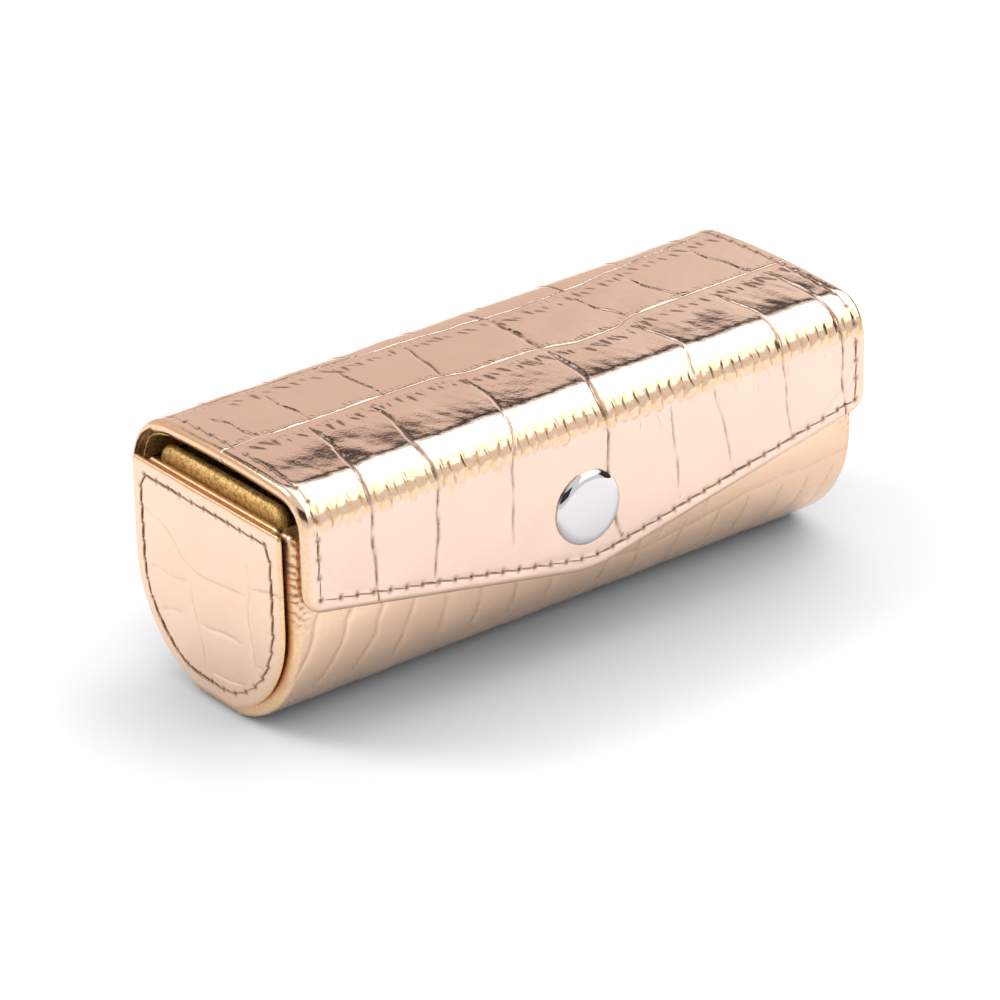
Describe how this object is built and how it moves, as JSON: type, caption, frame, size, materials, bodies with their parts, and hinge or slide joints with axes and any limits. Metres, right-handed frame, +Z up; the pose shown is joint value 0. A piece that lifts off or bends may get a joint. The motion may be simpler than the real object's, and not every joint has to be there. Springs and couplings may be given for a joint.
{
  "type": "lipstick case",
  "caption": "Half-round lipstick case in metallic crocodile-embossed leather: hinged lid with a mirror, and a front flap closed by a press stud.",
  "frame": {"origin": "middle of the flat strip under the tray that the case stands on", "axes": "+X along the case to its right end, -Y to the front where the flap closes, +Z up"},
  "size_m": [0.0962, 0.0399, 0.0379],
  "materials": {
    "rose_gold_leather": "metallic foil over crocodile-embossed leather, glossy",
    "gold_lining": "metallic gold glitter cloth",
    "greyboard": "plain dense card",
    "brown_thread": "bonded sewing thread",
    "polished_nickel": "mirror-polished plate",
    "spring_wire": "drawn wire",
    "mirror_glass": "silvered glass"
  },
  "bodies": {
    "tray": {"tray_leather": "rose_gold_leather", "tray_board": "greyboard", "tray_lining": "gold_lining", "end_leather_left": "rose_gold_leather", "end_leather_right": "rose_gold_leather", "end_board_left": "greyboard", "end_board_right": "greyboard", "end_pad_left": "gold_lining", "end_pad_right": "gold_lining", "end_stitching_left": "brown_thread", "end_stitching_right": "brown_thread", "hinge_leather": "rose_gold_leather", "hinge_lining": "gold_lining", "snap_stud": "polished_nickel", "snap_post": "polished_nickel"},
    "lid": {"lid_leather": "rose_gold_leather", "lid_board": "greyboard", "lid_lining": "gold_lining", "lid_stitching_left": "brown_thread", "lid_stitching_right": "brown_thread", "mirror": "mirror_glass"},
    "flap": {"flap_leather": "rose_gold_leather", "flap_stiffener": "greyboard", "flap_lining": "gold_lining", "flap_stitching": "brown_thread", "snap_cap": "polished_nickel", "snap_socket": "polished_nickel", "snap_spring": "spring_wire"}
  },
  "joints": [
    {"name": "lid_hinge", "type": "hinge", "parent": "tray", "child": "lid", "pos_m": [0, 0.01555, 0.03485], "axis": [-1, 0, 0], "range_deg": [0, 110]},
    {"name": "flap_fold", "type": "hinge", "parent": "lid", "child": "flap", "pos_m": [0, -0.01948, 0.03578], "axis": [-1, 0, 0], "range_deg": [0, 40], "stiffness_Nm_per_rad": 0.05}
  ]
}
